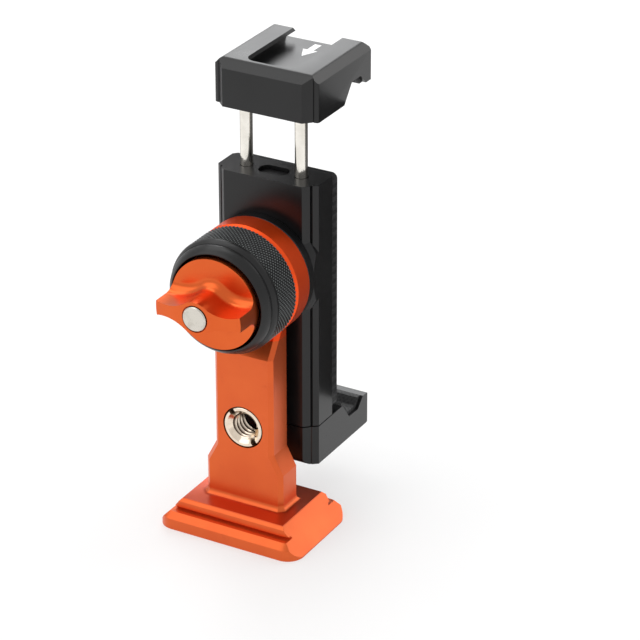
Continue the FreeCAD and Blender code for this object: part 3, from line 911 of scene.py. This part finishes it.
def ringBlank():
    back = ringBox[1].y
    knurlEnd = back - ring["knurlLength"]
    front = knurlEnd - ring["shoulderLength"]
    lipEnd = front - ring["lip"]
    root = ring["radius"] - ring["toothHeight"]
    grooveRadius = ring["frontRadius"] - ring["grooveDepth"]
    profile = [
        (back - ring["web"], ring["recess"]),
        (back - ring["web"], ring["bore"]),
        (back, ring["bore"]),
        (back, ring["radius"] - ring["backBevel"]),
        (back - ring["backBevel"] * 0.6, root),
        (knurlEnd + 0.1 * mm, root),
    ]
    profile += [(knurlEnd - along * mm, ring["radius"] - inwards * mm) for along, inwards in ring["shoulder"]]
    # a fine groove between shoulder and lip
    profile += [
        (front + 0.14 * mm, ring["frontRadius"] + 0.06 * mm),
        (front + ring["grooveHalf"], grooveRadius),
        (front - ring["grooveHalf"], grooveRadius),
    ]
    profile += [(front - along * mm, ring["frontRadius"] - inwards * mm) for along, inwards in ring["lipCurve"]]
    profile += [
        (lipEnd + ring["lipBreak"], ring["lipInner"] + 0.14 * mm),
        (lipEnd, ring["lipInner"]),
        (lipEnd, ring["recess"] + 0.08 * mm),
        (lipEnd + ring["lipBreak"], ring["recess"]),
        (back - ring["web"], ring["recess"]),
    ]
    return turnedPiece("ring_turned", profile, ring["steps"], pivotZ)


def ringKnurl():
    # one strip of cells across the ring; its cells are cut to diamonds, each raised to a point, and spun round
    rows = ring["rows"]
    cells = ring["cellsRound"]
    back = ringBox[1].y - ring["backBevel"] * 0.6
    length = ring["knurlLength"] - ring["backBevel"] * 0.6
    angle = 2 * math.pi / cells
    low = ring["radius"] - ring["toothHeight"]
    width = 2 * low * math.sin(angle / 2)
    pickNone()
    bpy.ops.mesh.primitive_grid_add(x_subdivisions=1, y_subdivisions=rows, size=1, location=(0, 0, 0))
    piece = bpy.context.object
    piece.name = "ring_knurl"
    piece.scale = (width, length, 1)
    piece.location = (0, back - length / 2, pivotZ + low * math.cos(angle / 2))
    placed()
    bpy.ops.object.mode_set(mode="EDIT")
    bpy.ops.mesh.select_all(action="SELECT")
    bpy.ops.mesh.poke()
    objectMode()
    # the cells' old sides inside the strip go, so that triangles join to diamonds
    places = piece.data.vertices

    def crossSide(edge):
        first, second = [places[i].co.y for i in edge.vertices]
        return abs(first - second) < tiny and back - length + 0.01 * mm < first < back - 0.01 * mm

    pick(piece, "EDGE", crossSide)
    bpy.ops.mesh.dissolve_edges(use_verts=False)
    bpy.ops.mesh.select_mode(type="VERT")
    bpy.ops.mesh.select_all(action="SELECT")
    bpy.ops.mesh.spin(steps=cells, dupli=True, angle=2 * math.pi, center=(0, 0, pivotZ), axis=(0, 1, 0))
    bpy.ops.mesh.select_all(action="SELECT")
    bpy.ops.mesh.remove_doubles(threshold=wideWeld)
    objectMode()
    # two triangles that share a side along the ring also join to a diamond
    places = piece.data.vertices

    def longSide(edge):
        first, second = [places[i].co.y for i in edge.vertices]
        return abs(abs(first - second) - length / rows) < tiny

    pick(piece, "EDGE", longSide)
    bpy.ops.mesh.dissolve_edges(use_verts=False)
    bpy.ops.mesh.select_mode(type="FACE")
    facedOut()
    bpy.ops.mesh.poke(offset=ring["toothHeight"])
    objectMode()
    return piece


blank = ringBlank()
applied(blank, "BEVEL", width=0.06 * mm, segments=2, limit_method="ANGLE", angle_limit=math.radians(40))
dress(blank, "ring", blackRing, "black_anodised", 30, "knurled_ring")
dress(ringKnurl(), "ring", blackKnurl, "black_anodised", 0)
print("ring")


# the two camera bushes and their threads

thread = {
    "radius": 3.2 * mm,
    "crest": 2.62 * mm,
    "sunk": 0.03 * mm,
    "pitch": 1.27 * mm,
    "baseShare": 0.44,  # half the ridge's base, in pitches
    "sides": 48,
    # turns, and how far inside the bush they begin
    "frontTurns": 4,
    "frontInset": 0.75 * mm,
    "baseTurns": 3,
    "baseInset": 0.9 * mm,
}
bush = {
    "radius": 5.2 * mm,
    "frontRadius": 4.98 * mm,
    "frontLength": 1.4 * mm,
    "frontEdge": 0.1 * mm,
    "backEdge": 0.3 * mm,
    "sinkRadius": 4.25 * mm,
    "sinkDepth": 1.0 * mm,
    "slotWidth": 1.5 * mm,
    "slotDepth": 1.15 * mm,
    "slotTurn": 50.0,
    "edgeBreak": 0.05 * mm,
    "steps": 96,
}
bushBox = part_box("thread_bush")
bushZ = (bushBox[0].z + bushBox[1].z) / 2


def cameraBush():
    front = bushBox[0].y
    back = bushBox[1].y
    profile = [
        (front + bush["sinkDepth"], thread["radius"]),
        (front, bush["sinkRadius"]),
        (front, bush["frontRadius"] - bush["frontEdge"]),
        (front + bush["frontEdge"], bush["frontRadius"]),
        (front + bush["frontLength"], bush["frontRadius"]),
        (front + bush["frontLength"], bush["radius"]),
        (back, bush["radius"]),
        (back, thread["radius"] + bush["backEdge"]),
        (back - bush["backEdge"], thread["radius"]),
        (front + bush["sinkDepth"], thread["radius"]),
    ]
    piece = turnedPiece("camera_bush", profile, bush["steps"], bushZ)
    # the driver slot is cut by a bar laid across the face
    cutAway(piece, cutterBlock((bush["radius"] * 3, bush["slotDepth"] * 2, bush["slotWidth"]),
                               (0, front, bushZ), (0, math.radians(bush["slotTurn"]), 0)))
    activate(piece)
    bpy.ops.object.shade_smooth_by_angle(angle=math.radians(25))
    applied(piece, "BEVEL", width=bush["edgeBreak"], segments=2, limit_method="ANGLE",
            angle_limit=math.radians(35), harden_normals=True)
    return dress(piece, "base", bushSteel, "stainless_steel", 0, "thread_bush")


def threadRidge(name, turns):
    # a three-sided bar wound round the object's own Z axis, its point towards the axis
    pickNone()
    depth = thread["radius"] - thread["crest"] + thread["sunk"]
    bpy.ops.mesh.primitive_circle_add(vertices=3, radius=depth / 1.5, location=(0, 0, 0), rotation=(quarter, 0, 0))
    piece = bpy.context.object
    piece.name = name
    placed()
    editAll(piece)
    bpy.ops.transform.rotate(value=quarter, orient_axis="Y", center_override=(0, 0, 0))
    objectMode()
    tip = min(piece.data.vertices, key=lambda v: abs(v.co.z))
    if tip.co.x > 0:
        bpy.ops.object.mode_set(mode="EDIT")
        bpy.ops.transform.rotate(value=math.pi, orient_axis="Y", center_override=(0, 0, 0))
        objectMode()
    # its base lies on the bush's wall
    widest = max(v.co.z for v in piece.data.vertices)
    nearest = min(v.co.x for v in piece.data.vertices)
    piece.scale = (1, 1, thread["baseShare"] * thread["pitch"] / widest)
    piece.location = (thread["crest"] - nearest, 0, 0)
    placed()
    applied(piece, "SCREW", axis="Z", screw_offset=thread["pitch"], iterations=turns, steps=thread["sides"],
            render_steps=thread["sides"], use_merge_vertices=True, merge_threshold=tiny)
    editAll(piece)
    bpy.ops.mesh.normals_make_consistent(inside=False)
    objectMode()
    return piece


cameraBush()
frontThread = threadRidge("front_thread", thread["frontTurns"])
frontThread.rotation_euler = (quarter, 0, 0)
frontThread.location = (0, bushBox[1].y - thread["frontInset"], bushZ)
dress(frontThread, "base", bushSteel, "stainless_steel", 40)
baseThread = threadRidge("base_thread", thread["baseTurns"])
baseThread.location = (0, 0, thread["baseInset"])
dress(baseThread, "base", baseSteel, "stainless_steel", 40)
print("threads")


# arrow on the shoe's floor

arrow = {
    "tip": 24.15 * mm,
    "barbs": 28.25 * mm,
    "tail": 32.0 * mm,
    "headHalf": 1.9 * mm,
    "shaftHalf": 0.85 * mm,
    "floor": 110.1 * mm,
    "thick": 0.02 * mm,
}


def shoeArrow():
    length = arrow["tail"] - arrow["barbs"]
    pickNone()
    bpy.ops.mesh.primitive_plane_add(size=1, location=(0, arrow["barbs"] + length / 2, arrow["floor"]))
    piece = bpy.context.object
    piece.name = "shoe_arrow"
    piece.scale = (arrow["shaftHalf"] * 2, length, 1)
    placed()
    places = piece.data.vertices
    pick(piece, "EDGE", lambda edge: all(places[i].co.y < arrow["barbs"] + tiny for i in edge.vertices))
    # out to the barbs, then in to the point
    extruded((0, 0, 0))
    bpy.ops.transform.resize(value=(arrow["headHalf"] / arrow["shaftHalf"], 1, 1),
                             center_override=(0, arrow["barbs"], arrow["floor"]))
    extruded((0, arrow["tip"] - arrow["barbs"], 0))
    bpy.ops.mesh.merge(type="CENTER")
    bpy.ops.mesh.select_all(action="SELECT")
    bpy.ops.mesh.dissolve_degenerate(threshold=tiny)
    facedOut()
    extruded((0, 0, arrow["thick"]))
    facedOut()
    objectMode()
    return dress(piece, "jaw", arrowWhite, "black_anodised", 0)


shoeArrow()
print("arrow")


# floor, lamps, camera

white = (1, 1, 1, 1)
studio = {
    "floorSize": 12.0,
    "floorColour": (0.93, 0.93, 0.93, 1.0),
    "floorRoughness": 0.85,
    "floorGlow": 0.45,
    "skyStrength": 0.76,
    "lamps": (
        # name, place, size, power, colour
        ("lampLeft", (-0.9, -0.9, 1.1), 1.3, 5.2, (1.0, 0.99, 0.98)),
        ("lampTop", (-0.65, 0.15, 1.2), 0.8, 2.4, (1.0, 1.0, 1.0)),
        ("lampHigh", (-0.3, 0.05, 1.3), 0.3, 0.5, (1.0, 1.0, 1.0)),
        ("lampBack", (-0.42, 0.8, 0.62), 0.6, 3.1, (0.98, 0.99, 1.0)),
        ("lampRight", (0.55, 1.0, 0.6), 0.9, 3.5, (1.0, 0.99, 0.98)),
    ),
    "aim": (0.0, 0.005, 0.06),
    "cameraPlace": (0.3156, -0.5296, 0.3622),
    "cameraLook": (-0.4375, 0.7796, -0.4481),
    "cameraUp": (-0.2193, 0.3908, 0.8940),
    "cameraLens": 168.4,
    "cameraSensor": 36,
    "cameraClip": (0.01, 100),
}
card = {
    "place": (0, 0.0225, 0.0635),
    "width": 0.16,
    "height": 0.077,
    "left": (0.62, 0.62, 0.63, 1),
    "right": (0.14, 0.14, 0.14, 1),
    "change": 12,  # how fast the tone changes along X, per metre
    "roughness": 0.7,
}


def whiteFloor():
    pickNone()
    bpy.ops.mesh.primitive_plane_add(size=studio["floorSize"], location=(0, 0, 0))
    floor = bpy.context.object
    floor.name = "floor"
    finish = Finish("floor_white")
    finish.set(Base_Color=studio["floorColour"], Roughness=studio["floorRoughness"])
    glow = finish.node("ShaderNodeEmission", {}, {"Color": white, "Strength": 1.0})
    rays = finish.tree.nodes.new("ShaderNodeLightPath")
    shown = Wire(finish, rays.outputs["Is Camera Ray"]).most(Wire(finish, rays.outputs["Is Glossy Ray"]))
    shown = shown.most(Wire(finish, rays.outputs["Is Transmission Ray"]))
    mixed = finish.node("ShaderNodeMixShader", {},
                        {0: shown * studio["floorGlow"], 1: finish.surface.outputs[0], 2: glow})
    finish.feed(finish.tree.nodes["Material Output"].inputs["Surface"], mixed)
    floor.data.materials.append(finish.material)


def lamp(name, place, size, power, colour):
    pickNone()
    bpy.ops.object.light_add(type="AREA", location=place)
    made = bpy.context.object
    made.name = name
    made.data.shape = "SQUARE"
    made.data.size = size
    made.data.energy = power
    made.data.color = colour
    away = Vector(place) - Vector(studio["aim"])
    made.rotation_euler = away.to_track_quat("Z", "Y").to_euler()


def greyCard():
    # a grey card in the jaws: no camera sees it, only the gloss of the metal does
    pickNone()
    bpy.ops.mesh.primitive_plane_add(size=1, location=card["place"], rotation=(quarter, 0, 0))
    made = bpy.context.object
    made.name = "grey_card"
    made.scale = (card["width"], card["height"], 1)
    finish = Finish("card_grey")
    x, y, z = finish.axes()
    tone = finish.blend((x * card["change"] + 0.5).clamped(), card["left"], card["right"])
    finish.set(Base_Color=tone, Roughness=card["roughness"])
    made.data.materials.append(finish.material)
    made.visible_camera = False
    made.visible_diffuse = False
    made.visible_shadow = False


def sky():
    world = bpy.data.worlds.new("studio_sky")
    bpy.context.scene.world = world
    world.use_nodes = True
    nodes = world.node_tree.nodes
    links = world.node_tree.links
    light = nodes["Background"]
    light.inputs["Color"].default_value = white
    light.inputs["Strength"].default_value = studio["skyStrength"]
    # the camera sees plain white behind the floor
    seen = nodes.new("ShaderNodeBackground")
    seen.inputs["Color"].default_value = white
    rays = nodes.new("ShaderNodeLightPath")
    mixed = nodes.new("ShaderNodeMixShader")
    links.new(rays.outputs["Is Camera Ray"], mixed.inputs[0])
    links.new(light.outputs[0], mixed.inputs[1])
    links.new(seen.outputs[0], mixed.inputs[2])
    links.new(mixed.outputs[0], nodes["World Output"].inputs["Surface"])


def photoCamera():
    pickNone()
    bpy.ops.object.camera_add(location=studio["cameraPlace"])
    camera = bpy.context.object
    camera.name = "camera"
    look = Vector(studio["cameraLook"]).normalized()
    side = look.cross(Vector(studio["cameraUp"])).normalized()
    up = side.cross(look)
    turn = Matrix((side, up, -look)).transposed().to_4x4()
    camera.matrix_world = Matrix.Translation(Vector(studio["cameraPlace"])) @ turn
    camera.data.lens = studio["cameraLens"]
    camera.data.sensor_width = studio["cameraSensor"]
    camera.data.clip_start, camera.data.clip_end = studio["cameraClip"]
    bpy.context.scene.camera = camera


whiteFloor()
for values in studio["lamps"]:
    lamp(*values)
greyCard()
sky()
photoCamera()
bpy.context.scene.view_settings.view_transform = "Standard"
print("studio")

pickNone()
